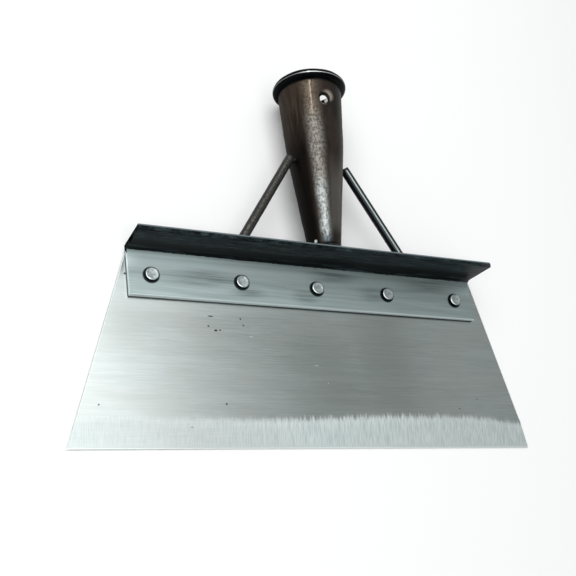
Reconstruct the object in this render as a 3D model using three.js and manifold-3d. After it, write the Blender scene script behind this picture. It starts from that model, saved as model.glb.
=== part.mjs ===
// Garden scraper head: a wide ground blade riveted under an angle beam, with a tapered handle socket
// and two round braces welded onto the beam. It lies on the back of its blade and the rim of its socket.
// Lengths are millimetres. X runs along the cutting edge, Y from the cutting edge to the socket's mouth,
// and Z up from the surface that the blade's back lies on.
import * as THREE from 'three';
import { mergeVertices } from 'three/addons/utils/BufferGeometryUtils.js';
import Module from 'manifold-3d';

// Blade
const bladeEdgeWidth = 250;
const bladeTopWidth = 199.4;
const bladeTopOffset = 1.3;
const bladeExposedLength = 71;
const bladeThickness = 1.8;
const bladeTopSetback = 0.5;
const bevelWidth = 14.5;
const cuttingEdgeThickness = 0.5;

// Angle beam
const beamEndInset = 1;
const beamEndSlant = 1.6;
const beamLegWidth = 26;
const beamThickness = 3;
const beamRootRadius = 3.5;
const beamToeRadius = 1;
const beamHeelRadius = 0.8;

// Rivets
const rivetPlaceShares = [-0.4412, -0.2077, 0.0045, 0.2194, 0.4428];
const rivetLineHeight = 11;
const rivetHeadDiameter = 7.2;
const rivetHeadHeight = 1.6;
const rivetHeadEdgeRadius = 0.45;
const rivetShankDiameter = 4;
const rivetTailDiameter = 6.2;
const rivetTailDepth = 1.1;
const rivetHoleClearance = 0.1;

// Handle socket
const socketLength = 95.2;
const socketBaseDiameter = 16.8;
const socketBendDiameter = 31;
const socketMouthDiameter = 35.3;
const socketBendHeight = 58.6;
const socketBendReach = 4;
const socketBendSoftness = 0.4;
const socketWall = 2;
const socketFromFlangeEdge = 10.4;
const socketFootShift = 0.7;
const socketMouthShift = 1.05;
const rimBeadRadius = 2.6;
const mouthEdgeBevel = 0.5;
const screwHoleDiameter = 5;
const screwHoleFromRim = 14;
const countersinkDiameter = 8.6;
const countersinkDepth = 1.5;

// Braces
const braceDiameter = 5;
const braceFootReach = 47;
const leftBraceTopHeight = 54;
const leftBraceTopForward = 3;
const rightBraceTopHeight = 53;
const braceEndBevel = 0.35;

// Welds
const socketWeldWidth = 1.9;
const socketWeldHeight = 3.4;
const footWeldWidth = 2.4;
const footWeldHeight = 2.6;
const topWeldRadius = 2.3;

// Clearances, overrun of cutting bodies, and facets
const seatGap = 0.3;
const cutOverrun = 5;
const arcSteps = 5;
const rivetSides = 28;
const socketSides = 56;
const braceSides = 24;
const weldSides = 32;
const blobSides = 16;

const bladeFinish = { color: 0xaab3b3, roughness: 0.35, metalness: 1 };
const beamFinish = { color: 0x2c3538, roughness: 0.4, metalness: 0.6 };
const rivetFinish = { color: 0xa9b1b1, roughness: 0.35, metalness: 1 };
const socketFinish = { color: 0x4a443d, roughness: 0.45, metalness: 0.8 };
const braceFinish = { color: 0x26292a, roughness: 0.35, metalness: 0.7 };
const weldFinish = { color: 0x34393b, roughness: 0.5, metalness: 0.7 };

const wasm = await Module();
wasm.setup();

function toSolid(geometry) {
  const bare = geometry.clone();
  bare.deleteAttribute('normal');
  bare.deleteAttribute('uv');
  const merged = mergeVertices(bare);
  return new wasm.Manifold(new wasm.Mesh({
    numProp: 3,
    vertProperties: merged.attributes.position.array,
    triVerts: Uint32Array.from(merged.index.array),
  }));
}

function toGeometry(solid) {
  const mesh = solid.getMesh();
  const geometry = new THREE.BufferGeometry();
  geometry.setAttribute('position', new THREE.BufferAttribute(mesh.vertProperties, mesh.numProp));
  geometry.setIndex(new THREE.BufferAttribute(mesh.triVerts, 1));
  geometry.computeVertexNormals();
  return geometry;
}

function cut(body, ...cutters) {
  return cutters.reduce((left, cutter) => left.subtract(toSolid(cutter)), toSolid(body));
}

function namedMesh(name, geometry, finish) {
  const mesh = new THREE.Mesh(geometry, new THREE.MeshStandardMaterial(finish));
  mesh.name = name;
  return mesh;
}

// A section drawn in Y and Z, run along X and centred on it
function alongX(section, length) {
  const geometry = new THREE.ExtrudeGeometry(section, {
    depth: length, bevelEnabled: false, curveSegments: arcSteps,
  });
  geometry.translate(0, 0, -length / 2);
  const axes = new THREE.Matrix4().makeBasis(
    new THREE.Vector3(0, 1, 0),
    new THREE.Vector3(0, 0, 1),
    new THREE.Vector3(1, 0, 0),
  );
  return geometry.applyMatrix4(axes);
}

// Straight points joined into a closed outline
function outline(points) {
  return new THREE.Shape(points.map(([x, y]) => new THREE.Vector2(x, y)));
}

// An outline in X and Y as a solid that runs past a piece lying between the heights 0 and top
function upward(shape, top) {
  const geometry = new THREE.ExtrudeGeometry(shape, { depth: top + 2 * cutOverrun, bevelEnabled: false });
  return toSolid(geometry.translate(0, 0, -cutOverrun));
}

// A turned body about Y from pairs of radius and height
function turned(points, sides) {
  return new THREE.LatheGeometry(points.map(([radius, height]) => new THREE.Vector2(radius, height)), sides);
}

// The points of an arc about a centre, both ends included
function arcPoints(centreX, centreY, radius, startAngle, endAngle, steps = arcSteps) {
  return Array.from({ length: steps + 1 }, (_, step) => {
    const angle = startAngle + (endAngle - startAngle) * step / steps;
    return [centreX + radius * Math.cos(angle), centreY + radius * Math.sin(angle)];
  });
}

// Places shared by the pieces
const beamBack = bladeThickness;
const beamFront = beamBack + beamThickness;
const flangeEdge = beamBack + beamLegWidth;
const socketAxisHeight = flangeEdge - socketFromFlangeEdge;
// The beam is a little shorter than the blade's top edge, and the rivet row follows it.
const beamLength = bladeTopWidth - 2 * beamEndInset;
const rivetPlaces = rivetPlaceShares.map((share) => share * beamLength);

// The socket leans a little to the left, and back until the lowest point of its rim lies on the surface that
// the blade's back lies on.
const socketSideLean = Math.asin(socketMouthShift / socketLength);
const socketReach = socketLength * Math.cos(socketSideLean);
const rimReach = Math.hypot(socketReach, socketMouthDiameter / 2);
const socketLean = Math.atan2(socketMouthDiameter / 2, socketReach)
  - Math.asin((socketAxisHeight - rimBeadRadius) / rimReach);

// The two braces were set by hand, so their tops touch the socket at different places.
const leftBrace = { side: -1, topHeight: leftBraceTopHeight, topForward: leftBraceTopForward };
const rightBrace = { side: 1, topHeight: rightBraceTopHeight, topForward: 0 };

// Blade: a ground section along X, trimmed to its taper
function bladeGeometry() {
  const top = beamLegWidth - bladeTopSetback;
  const section = outline([
    [-bladeExposedLength, 0],
    [top, 0],
    [top, bladeThickness],
    [bevelWidth - bladeExposedLength, bladeThickness],
    [-bladeExposedLength, cuttingEdgeThickness],
  ]);
  const taper = outline([
    [-bladeEdgeWidth / 2, -bladeExposedLength],
    [bladeEdgeWidth / 2, -bladeExposedLength],
    [bladeTopOffset + bladeTopWidth / 2, top],
    [bladeTopOffset - bladeTopWidth / 2, top],
  ]);
  const plate = toSolid(alongX(section, bladeEdgeWidth)).intersect(upward(taper, bladeThickness));
  return toGeometry(cutRivetHoles(plate));
}

// Holes along the rivet line, with the countersinks that the rivet tails fill
function cutRivetHoles(solid) {
  const shank = rivetShankDiameter / 2 + rivetHoleClearance;
  const tail = rivetTailDiameter / 2 + rivetHoleClearance;
  const profile = [
    [0, -cutOverrun],
    [tail, -cutOverrun],
    [tail, 0],
    [shank, rivetTailDepth],
    [shank, beamFront + cutOverrun],
    [0, beamFront + cutOverrun],
  ];
  return rivetPlaces.reduce((left, place) => {
    const cutter = turned(profile, rivetSides).rotateX(Math.PI / 2);
    cutter.translate(place, rivetLineHeight, 0);
    return left.subtract(toSolid(cutter));
  }, solid);
}

// Angle beam: an equal rolled angle with a root fillet, rounded toes and a slightly rounded heel. Both ends
// are sawn alike, a little out of square.
function beamGeometry() {
  const inner = beamLegWidth - beamThickness;
  const section = new THREE.Shape();
  section.moveTo(0, beamBack);
  section.lineTo(beamLegWidth - beamHeelRadius, beamBack);
  section.absarc(
    beamLegWidth - beamHeelRadius, beamBack + beamHeelRadius, beamHeelRadius, -Math.PI / 2, 0, false,
  );
  section.lineTo(beamLegWidth, flangeEdge);
  section.lineTo(inner + beamToeRadius, flangeEdge);
  section.absarc(
    inner + beamToeRadius, flangeEdge - beamToeRadius, beamToeRadius, Math.PI / 2, Math.PI, false,
  );
  section.lineTo(inner, beamFront + beamRootRadius);
  section.absarc(
    inner - beamRootRadius, beamFront + beamRootRadius, beamRootRadius, 0, -Math.PI / 2, true,
  );
  section.lineTo(beamToeRadius, beamFront);
  section.absarc(
    beamToeRadius, beamFront - beamToeRadius, beamToeRadius, Math.PI / 2, Math.PI, false,
  );
  section.lineTo(0, beamBack);
  const lean = beamEndSlant / 2;
  const ends = outline([
    [lean - beamLength / 2, 0],
    [lean + beamLength / 2, 0],
    [beamLength / 2 - lean, beamLegWidth],
    [-beamLength / 2 - lean, beamLegWidth],
  ]);
  const bar = toSolid(alongX(section, beamLength + beamEndSlant));
  return toGeometry(cutRivetHoles(bar.intersect(upward(ends, flangeEdge))));
}

// Rivet: a flat round head on the beam, a shank, and a tail hammered flush into the blade's back
function rivetGeometry() {
  const head = rivetHeadDiameter / 2;
  const top = beamFront + rivetHeadHeight;
  const profile = [
    [0, 0],
    [rivetTailDiameter / 2, 0],
    [rivetShankDiameter / 2, rivetTailDepth],
    [rivetShankDiameter / 2, beamFront],
    [head, beamFront],
    ...arcPoints(head - rivetHeadEdgeRadius, top - rivetHeadEdgeRadius, rivetHeadEdgeRadius, 0, Math.PI / 2),
    [0, top],
  ];
  return toGeometry(toSolid(turned(profile, rivetSides).rotateX(Math.PI / 2)));
}

// Outer radius of the socket at a height above the beam: two cones that meet in a softly rounded bend
function socketRadiusAt(height) {
  const lowerSlope = (socketBendDiameter - socketBaseDiameter) / socketBendHeight;
  const upperSlope = (socketMouthDiameter - socketBendDiameter) / (socketLength - socketBendHeight);
  const lower = socketBendDiameter + lowerSlope * (height - socketBendHeight);
  const upper = socketBendDiameter + upperSlope * (height - socketBendHeight);
  return (lower + upper - Math.hypot(lower - upper, socketBendSoftness)) / 4;
}

// Heights of the rings that follow the socket's outline: below the beam's face, round the bend, and at the rim
function socketHeights() {
  return [
    -cutOverrun,
    socketBendHeight - socketBendReach,
    socketBendHeight,
    socketBendHeight + socketBendReach,
    socketLength - rimBeadRadius,
  ];
}

// A geometry that is flat on the beam, turned to the same place as seen from the leaning socket
function flatOnBeam(geometry) {
  return geometry.rotateX(-socketLean).rotateZ(-socketSideLean);
}

// The half-space below the beam's face, as a block seen from the leaning socket
function beamSideBlock(gap) {
  const size = 2 * (braceFootReach + rimReach);
  const block = new THREE.BoxGeometry(size, size, size);
  return flatOnBeam(block.translate(0, gap - size / 2, 0));
}

// Solid body of the socket's outside, grown by a gap, that neighbours are cut by
function socketEnvelope(gap) {
  const profile = socketHeights().map((height) => [socketRadiusAt(height) + gap, height]);
  return turned([[0, -cutOverrun], ...profile, [0, socketLength - rimBeadRadius]], socketSides);
}

// Socket: a rolled tapered tube whose mouth ends in a rounded bead, with one countersunk screw hole
function socketGeometry() {
  const heights = socketHeights();
  const outer = heights.map((height) => [socketRadiusAt(height), height]);
  const inner = heights.map((height) => [socketRadiusAt(height) - socketWall, height]).reverse();
  const mouth = socketMouthDiameter / 2;
  const top = socketLength + rimBeadRadius;
  const bead = arcPoints(mouth, socketLength, rimBeadRadius, -Math.PI / 2, Math.PI / 2, 2 * arcSteps);
  const profile = [
    ...outer,
    ...bead.slice(1),
    [mouth - socketWall + mouthEdgeBevel, top],
    [mouth - socketWall, top - mouthEdgeBevel],
    ...inner,
  ];
  profile.push(profile[0]);
  const holeHeight = socketLength - screwHoleFromRim;
  const surface = socketRadiusAt(holeHeight);
  const hole = turned([
    [0, 0],
    [screwHoleDiameter / 2, 0],
    [screwHoleDiameter / 2, surface - countersinkDepth],
    [countersinkDiameter / 2, surface],
    [countersinkDiameter / 2, surface + cutOverrun],
    [0, surface + cutOverrun],
  ], rivetSides);
  hole.rotateX(Math.PI / 2);
  hole.translate(0, holeHeight, 0);
  return toGeometry(cut(turned(profile, socketSides), hole, beamSideBlock(seatGap)));
}

// Where a brace's axis starts on the beam, its direction, the place of its square end, and the corner of that
// end that lies nearest to the socket's flank
function braceLine({ side, topHeight, topForward }) {
  const foot = new THREE.Vector3(side * braceFootReach, 0, 0);
  foot.applyAxisAngle(new THREE.Vector3(0, 0, 1), -socketSideLean);
  const radius = socketRadiusAt(topHeight);
  const flank = new THREE.Vector3(side * Math.sqrt(radius ** 2 - topForward ** 2), topHeight, topForward);
  const direction = flank.clone().sub(foot).normalize();
  const slope = (radius - socketRadiusAt(topHeight - braceDiameter)) / braceDiameter;
  const outward = new THREE.Vector3(flank.x / radius, -slope, flank.z / radius).normalize();
  const between = Math.asin(-direction.dot(outward));
  const setback = (braceDiameter / 2) / Math.tan(between) + seatGap / Math.sin(between);
  const end = flank.clone().addScaledVector(direction, -setback);
  const across = outward.clone().projectOnPlane(direction).normalize();
  const corner = end.clone().addScaledVector(across, -braceDiameter / 2);
  return { foot, direction, end, corner };
}

// A turned body about Y carried to a point and turned to a direction
function aimed(geometry, origin, direction) {
  const turn = new THREE.Quaternion().setFromUnitVectors(new THREE.Vector3(0, 1, 0), direction);
  return geometry.applyQuaternion(turn).translate(origin.x, origin.y, origin.z);
}

// Solid rod along a brace's axis, from below the beam's face to its square end, grown by a gap
function braceRod(brace, gap) {
  const { foot, direction, end } = braceLine(brace);
  const radius = braceDiameter / 2 + gap;
  const length = end.distanceTo(foot) + gap;
  const rod = turned([
    [0, -cutOverrun],
    [radius, -cutOverrun],
    [radius, length - braceEndBevel],
    [radius - braceEndBevel, length],
    [0, length],
  ], braceSides);
  return aimed(rod, foot, direction);
}

// Brace: a round bar standing on the beam, its square top end against the socket's flank
function braceGeometry(brace) {
  return toGeometry(cut(braceRod(brace, 0), beamSideBlock(seatGap)));
}

// Weld ring round the foot of the socket, flat on the beam
function socketWeldGeometry() {
  const base = socketBaseDiameter / 2;
  const bead = arcPoints(0, 0, 1, 0, Math.PI / 2).map(([across, up]) => [
    base + socketWeldWidth * across, socketWeldHeight * up,
  ]);
  const ring = turned([[0, 0], ...bead, [0, socketWeldHeight]], weldSides);
  return toGeometry(cut(flatOnBeam(ring), socketEnvelope(seatGap)));
}

// Weld ring round the foot of a brace, stretched along the lean of the bar
function footWeldGeometry(brace) {
  const { foot, direction } = braceLine(brace);
  const radius = braceDiameter / 2 + footWeldWidth;
  const bead = arcPoints(0, 0, 1, 0, Math.PI / 2).map(([across, up]) => [radius * across, footWeldHeight * up]);
  const dome = turned([[0, 0], ...bead], blobSides).scale(1 / direction.y, 1, 1);
  flatOnBeam(dome).translate(foot.x, foot.y, foot.z);
  return toGeometry(cut(dome, braceRod(brace, seatGap)));
}

// Weld blob where the inner corner of a brace's square end meets the socket's flank
function topWeldGeometry(brace) {
  const { direction, corner } = braceLine(brace);
  const bead = arcPoints(0, 0, topWeldRadius, -Math.PI / 2, Math.PI / 2, 2 * arcSteps);
  const blob = aimed(turned(bead, blobSides), corner, direction);
  return toGeometry(cut(blob, braceRod(brace, seatGap), socketEnvelope(seatGap)));
}

// The pieces that lean with the socket share one group, whose origin is on the beam's face.
function leaningPieces() {
  const group = new THREE.Group();
  group.position.set(socketFootShift, beamLegWidth, socketAxisHeight);
  group.rotation.set(socketLean, 0, socketSideLean);
  group.add(namedMesh('socket', socketGeometry(), socketFinish));
  group.add(namedMesh('socket_weld', socketWeldGeometry(), weldFinish));
  for (const [sideName, brace] of [['left', leftBrace], ['right', rightBrace]]) {
    group.add(namedMesh(`brace_${sideName}`, braceGeometry(brace), braceFinish));
    group.add(namedMesh(`brace_foot_weld_${sideName}`, footWeldGeometry(brace), weldFinish));
    group.add(namedMesh(`brace_top_weld_${sideName}`, topWeldGeometry(brace), weldFinish));
  }
  return group;
}

function scraperHead() {
  const head = new THREE.Group();
  const mouthTilt = Math.hypot(Math.sin(socketSideLean) * Math.cos(socketLean), Math.sin(socketLean));
  const mouthReach = beamLegWidth + socketReach * Math.cos(socketLean)
    + socketMouthDiameter / 2 * mouthTilt + rimBeadRadius;
  head.position.y = (bladeExposedLength - mouthReach) / 2;
  head.add(namedMesh('blade', bladeGeometry(), bladeFinish));
  head.add(namedMesh('angle_beam', beamGeometry(), beamFinish));
  rivetPlaces.forEach((place, index) => {
    const rivet = namedMesh(`rivet_${index + 1}`, rivetGeometry(), rivetFinish);
    rivet.position.set(place, rivetLineHeight, 0);
    head.add(rivet);
  });
  head.add(leaningPieces());
  return head;
}

export default scraperHead();
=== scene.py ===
"""Garden scraper head: a ground steel blade riveted under an angle beam, with a welded handle socket and braces."""

import logging
import math
from collections.abc import Callable, Iterator
from contextlib import contextmanager
from dataclasses import dataclass, field
from enum import Enum

import bmesh
import bpy
from mathutils import Matrix, Vector


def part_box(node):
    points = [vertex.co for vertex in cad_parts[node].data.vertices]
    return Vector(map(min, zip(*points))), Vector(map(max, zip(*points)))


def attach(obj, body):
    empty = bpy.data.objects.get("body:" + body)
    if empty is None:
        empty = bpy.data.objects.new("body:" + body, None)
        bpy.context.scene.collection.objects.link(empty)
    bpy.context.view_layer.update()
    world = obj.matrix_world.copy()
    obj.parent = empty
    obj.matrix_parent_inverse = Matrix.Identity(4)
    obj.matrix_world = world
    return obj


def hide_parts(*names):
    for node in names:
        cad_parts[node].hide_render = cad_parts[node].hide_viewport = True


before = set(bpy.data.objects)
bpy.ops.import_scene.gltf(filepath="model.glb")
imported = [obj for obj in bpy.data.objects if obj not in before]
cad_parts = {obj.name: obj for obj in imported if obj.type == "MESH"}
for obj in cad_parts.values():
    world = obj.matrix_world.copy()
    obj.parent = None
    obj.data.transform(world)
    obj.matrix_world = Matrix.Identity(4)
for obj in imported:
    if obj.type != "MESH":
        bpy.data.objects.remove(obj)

LOG = logging.getLogger("scraper")
MM = 0.001
BODY = "root"

# The part's frame starts at the middle of its box. The head's own heights along Y start at the leg's lower edge.
LEG_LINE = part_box("angle_beam")[0].y
NEAR = 0.02 * MM
# How much of a face's normal, of length one, has to point along X or Z for the face to count as looking that way.
SIDEWAYS, UPRIGHT = 0.9, 0.7
LEFTWARD, EDGEWARD, UPWARD = (-1, 0, 0), (0, -1, 0), (0, 0, 1)
# A half width in millimetres that is larger than the whole head, for patches that go right through it.
ANY_DEPTH = 1000.0

Piece = bpy.types.Object
Tree = bpy.types.NodeTree
Output = bpy.types.NodeSocket
Test = Callable[..., bool]
Size = tuple[float, float, float]
Profile = list[tuple[float, float]]
# The middle of each patch along X and Y in millimetres, and its half widths along them.
Spots = tuple[tuple[float, float, float, float], ...]
# Where a mark starts and where it is full, then its least and greatest strength where these aren't 0 and 1.
Span = tuple[float, ...]
# The size of a pattern's marks along X, Y and Z in millimetres, its finer layers and how strong they are.
Grain = tuple


class Pick(Enum):
    """What an edit-mode selection is made of."""

    POINTS = "VERT"
    EDGES = "EDGE"
    FACES = "FACE"


class Side(Enum):
    """The two sides of the head, seen from its riveted front."""

    LEFT = -1
    RIGHT = 1


def placed(name: str, data: bpy.types.ID) -> Piece:
    """Adds an object for a mesh, camera or lamp to the scene.

    Args:
        name: the object's name.
        data: the mesh, camera or lamp.

    Returns:
        The object.
    """
    piece = bpy.data.objects.new(name, data)
    bpy.context.scene.collection.objects.link(piece)
    return piece


def only(piece: Piece) -> None:
    """Makes one object the only selected and the active one.

    Args:
        piece: the object.
    """
    bpy.ops.object.select_all(action="DESELECT")
    piece.select_set(True)
    bpy.context.view_layer.objects.active = piece


def settle(piece: Piece) -> None:
    """Moves an object's place, turn and scale into its mesh."""
    only(piece)
    bpy.ops.object.transform_apply(location=True, rotation=True, scale=True)


@contextmanager
def editing(piece: Piece) -> Iterator[None]:
    """Opens one piece in edit mode with all of it selected, and goes back to object mode at the end.

    Args:
        piece: the mesh object to edit.

    Returns:
        Nothing; the piece stays in edit mode inside the with block.
    """
    only(piece)
    bpy.ops.object.mode_set(mode="EDIT")
    bpy.ops.mesh.select_mode(type=Pick.POINTS.value)
    bpy.ops.mesh.select_all(action="SELECT")
    yield
    bpy.ops.object.mode_set(mode="OBJECT")


def choose(piece: Piece, kind: Pick, test: Test) -> None:
    """Selects only the parts of a piece in edit mode that pass a test.

    Args:
        piece: the mesh object in edit mode.
        kind: whether points, edges or faces are tested.
        test: takes the point, edge or face and says whether it is selected.
    """
    bpy.ops.mesh.select_mode(type=kind.value)
    bpy.ops.mesh.select_all(action="DESELECT")
    shape = bmesh.from_edit_mesh(piece.data)
    parts = {Pick.POINTS: shape.verts, Pick.EDGES: shape.edges, Pick.FACES: shape.faces}[kind]
    for part in parts:
        if test(part):
            part.select_set(True)
    shape.select_flush_mode()
    bmesh.update_edit_mesh(piece.data)


def runs_at(edge: bmesh.types.BMEdge, y: float, z: float) -> bool:
    """Tells whether both ends of an edge lie at one height along Y and Z, in millimetres."""
    return all(abs(end.co.y - y * MM) < NEAR and abs(end.co.z - z * MM) < NEAR for end in edge.verts)


def looks_sideways(face: bmesh.types.BMFace) -> bool:
    """Tells whether a face looks along X, to either side."""
    return abs(face.normal.x) > SIDEWAYS


def looks_up(face: bmesh.types.BMFace) -> bool:
    """Tells whether a face looks mostly up."""
    return face.normal.z > UPRIGHT


def between(edge: bmesh.types.BMEdge, one: Test, other: Test) -> bool:
    """Tells whether an edge joins a face that passes one test to a face that passes another."""
    faces = edge.link_faces
    return len(faces) == 2 and any(one(faces[k]) and other(faces[1 - k]) for k in (0, 1))


def enlarge(x: float, y: float, z: float) -> None:
    """Scales what is selected about the origin."""
    bpy.ops.transform.resize(value=(x, y, z), center_override=(0, 0, 0))


def slide(x: float, y: float, z: float) -> None:
    """Moves what is selected, in millimetres."""
    bpy.ops.transform.translate(value=(x * MM, y * MM, z * MM))


def bevel(width: float, steps: int) -> None:
    """Rounds the selected edges over a width in millimetres, or chamfers them in one step."""
    bpy.ops.mesh.bevel(offset=width * MM, segments=steps, affect="EDGES", clamp_overlap=False)


def modify(piece: Piece, kind: str, **settings: object) -> None:
    """Adds a modifier to a piece with its settings and applies it.

    Args:
        piece: the mesh object.
        kind: the modifier's type name.
        settings: the modifier's own settings.
    """
    only(piece)
    modifier = piece.modifiers.new(kind.lower(), kind)
    for name, value in settings.items():
        setattr(modifier, name, value)
    bpy.ops.object.modifier_apply(modifier=modifier.name)


def carve(piece: Piece, cutter: Piece) -> None:
    """Takes a cutter's volume out of a piece; the cutter stays for the next one."""
    modify(piece, "BOOLEAN", operation="DIFFERENCE", solver="EXACT", object=cutter)


def discard(*pieces: Piece) -> None:
    """Removes helper objects with their meshes."""
    for piece in pieces:
        bpy.data.meshes.remove(piece.data)


def smooth(piece: Piece, degrees: float) -> None:
    """Shades a piece smooth, and sharp where its faces turn by more than an angle."""
    only(piece)
    bpy.ops.object.shade_smooth_by_angle(angle=math.radians(degrees))


def flatten(piece: Piece, degrees: float) -> None:
    """Shades a piece smooth by angle, with its large faces kept flat right up to their rounded edges."""
    smooth(piece, degrees)
    modify(piece, "WEIGHTED_NORMAL", mode="FACE_AREA", weight=100, keep_sharp=True)


def block(name: str, low: Vector, high: Vector) -> Piece:
    """Adds a box between two corners.

    Args:
        name: the object's name.
        low: its lowest corner in millimetres.
        high: its highest corner in millimetres.

    Returns:
        The box as an object at the origin.
    """
    bpy.ops.mesh.primitive_cube_add(size=1, location=(low + high) / 2 * MM)
    piece = bpy.context.object
    piece.name = piece.data.name = name
    piece.scale = (high - low) * MM
    settle(piece)
    return piece


def turned(name: str, profile: Profile, sides: int, ring: bool = False) -> Piece:
    """Grows a round piece about Z, ring by ring, from its first circle.

    Args:
        name: the object's name.
        profile: radius and height of each ring in millimetres.
        sides: number of sides of each ring.
        ring: whether the last ring joins the first, as on a tube; otherwise both ends are closed.

    Returns:
        The closed piece, upright about the Z axis.
    """
    radius, height = profile[0]
    bpy.ops.mesh.primitive_circle_add(vertices=sides, radius=radius * MM, location=(0, 0, height * MM))
    piece = bpy.context.object
    piece.name = piece.data.name = name
    settle(piece)
    with editing(piece):
        for next_radius, next_height in profile[1:] + profile[:1] * ring:
            bpy.ops.mesh.extrude_region_move(
                TRANSFORM_OT_translate={"value": (0, 0, (next_height - height) * MM)})
            enlarge(next_radius / radius, next_radius / radius, 1)
            radius, height = next_radius, next_height
        if ring:
            bpy.ops.mesh.select_all(action="SELECT")
            bpy.ops.mesh.remove_doubles(threshold=NEAR / 2)
        else:
            for _end in range(2):
                bpy.ops.mesh.extrude_region_move()
                bpy.ops.mesh.merge(type="CENTER")
                choose(piece, Pick.EDGES, lambda edge: edge.is_boundary)
        bpy.ops.mesh.select_all(action="SELECT")
        bpy.ops.mesh.normals_make_consistent(inside=False)
    return piece


def copied(piece: Piece, name: str, place: Matrix) -> Piece:
    """Copies a piece with a mesh of its own, turned and moved by a matrix that goes into the mesh.

    Args:
        piece: the piece to copy.
        name: the copy's name.
        place: where the copy goes.

    Returns:
        The copy, as an object at the origin.
    """
    twin = placed(name, piece.data.copy())
    twin.data.name = name
    twin.matrix_world = place
    settle(twin)
    return twin


def joined(pieces: list[Piece], name: str) -> Piece:
    """Joins pieces into the first one.

    Args:
        pieces: the pieces to join.
        name: the whole's name.

    Returns:
        The first piece, which now holds all of them.
    """
    bpy.ops.object.select_all(action="DESELECT")
    for piece in pieces:
        piece.select_set(True)
    bpy.context.view_layer.objects.active = pieces[0]
    bpy.ops.object.join()
    pieces[0].name = pieces[0].data.name = name
    return pieces[0]


def roughen(piece: Piece, depth: float, size: float) -> None:
    """Dents a fine mesh inwards with a seedless cloud pattern.

    Args:
        piece: the piece to dent.
        depth: the whole height of the dents in millimetres.
        size: the width of one dent in millimetres.
    """
    clouds = bpy.data.textures.new(piece.name + "_dents", "CLOUDS")
    clouds.noise_scale = size * MM
    modify(piece, "DISPLACE", texture=clouds, texture_coords="LOCAL", strength=depth * MM, mid_level=1.0)


def ladder(low: float, high: float, steps: int) -> list[float]:
    """Gives evenly spaced values from one to another, both included."""
    return [low + (high - low) * step / steps for step in range(steps + 1)]


def arc(centre: tuple[float, float], radius: float, start: float, end: float, steps: int) -> Profile:
    """Gives the points of an arc, angles in degrees from the outward direction, both ends included."""
    angles = [math.radians(angle) for angle in ladder(start, end, steps)]
    return [(centre[0] + radius * math.cos(angle), centre[1] + radius * math.sin(angle)) for angle in angles]


def linear(hex_colour: str) -> tuple[float, float, float, float]:
    """Turns an sRGB hex colour into the linear colour that a shader takes.

    Args:
        hex_colour: the colour as #RRGGBB.

    Returns:
        Its linear red, green and blue, and an alpha of 1.
    """
    channels = [int(hex_colour[k:k + 2], 16) / 255 for k in (1, 3, 5)]
    red, green, blue = (c / 12.92 if c <= 0.04045 else ((c + 0.055) / 1.055) ** 2.4 for c in channels)
    return red, green, blue, 1.0


@dataclass(frozen=True)
class Kind:
    """A kind of shader node: its type, its settings, the inputs that it is given in order, and the output used."""

    type_name: str
    settings: dict[str, str] = field(default_factory=dict)
    inputs: tuple[int | str, ...] = (0, 1, 2, 3, 4)
    output: str = ""


MATH, RANGE, MIX, VECTORS = "ShaderNodeMath", "ShaderNodeMapRange", "ShaderNodeMix", "ShaderNodeVectorMath"
TIMES = Kind(MATH, {"operation": "MULTIPLY"})
PLUS = Kind(MATH, {"operation": "ADD"})
MINUS = Kind(MATH, {"operation": "SUBTRACT"})
TIMES_PLUS = Kind(MATH, {"operation": "MULTIPLY_ADD"})
GREATER = Kind(MATH, {"operation": "MAXIMUM"})
UNSIGNED = Kind(MATH, {"operation": "ABSOLUTE"})
POWER = Kind(MATH, {"operation": "POWER"})
BEARING = Kind(MATH, {"operation": "ARCTAN2"})
DEGREES = Kind(MATH, {"operation": "DEGREES"})
EVEN = Kind(RANGE, {"interpolation_type": "LINEAR"})
SOFT = Kind(RANGE, {"interpolation_type": "SMOOTHSTEP"})
BLEND = Kind(MIX, {"data_type": "FLOAT"}, (0, 2, 3))
COVER = Kind(MIX, {"data_type": "RGBA"}, (0, 6, 7))
MOVED = Kind(VECTORS, {"operation": "SUBTRACT"})
SHARES = Kind(VECTORS, {"operation": "DIVIDE"})
LENGTH = Kind(VECTORS, {"operation": "LENGTH"}, output="Value")
ALIGNED = Kind(VECTORS, {"operation": "DOT_PRODUCT"}, output="Value")
PLACE = Kind("ShaderNodeTexCoord", output="Object")
DIRECTION = Kind("ShaderNodeTexCoord", output="Generated")
NORMAL = Kind("ShaderNodeNewGeometry", output="Normal")
SCALED = Kind("ShaderNodeMapping", inputs=("Vector", "Scale", "Location"))
AXES = Kind("ShaderNodeSeparateXYZ")
NOISE = Kind("ShaderNodeTexNoise", inputs=("Vector", "Scale", "Detail", "Roughness"))
BUMP = Kind("ShaderNodeBump", inputs=("Strength", "Distance", "Height"))
GLOSSY = Kind("ShaderNodeBsdfPrincipled", inputs=(
    "Base Color", "Metallic", "Roughness", "Normal", "Specular IOR Level"))
MATT = Kind("ShaderNodeBsdfDiffuse")
MIXED = Kind("ShaderNodeMixShader")
SURFACE = Kind("ShaderNodeOutputMaterial")
GLOW = Kind("ShaderNodeBackground")
SURROUNDINGS = Kind("ShaderNodeOutputWorld")


def add(tree: Tree, kind: Kind, *values: object) -> Output:
    """Adds a node with its settings, values and links.

    Args:
        tree: the node tree to add to.
        kind: the kind of node.
        values: a value, or another node's output, for each input of the kind, in order.

    Returns:
        The output that the kind names, or else the first one in use.
    """
    node = tree.nodes.new(kind.type_name)
    for name, setting in kind.settings.items():
        setattr(node, name, setting)
    for key, value in zip(kind.inputs, values):
        if isinstance(value, Output):
            tree.links.new(value, node.inputs[key])
        else:
            node.inputs[key].default_value = value
    if kind.output:
        return node.outputs[kind.output]
    return next((out for out in node.outputs if out.enabled), None)


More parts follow.
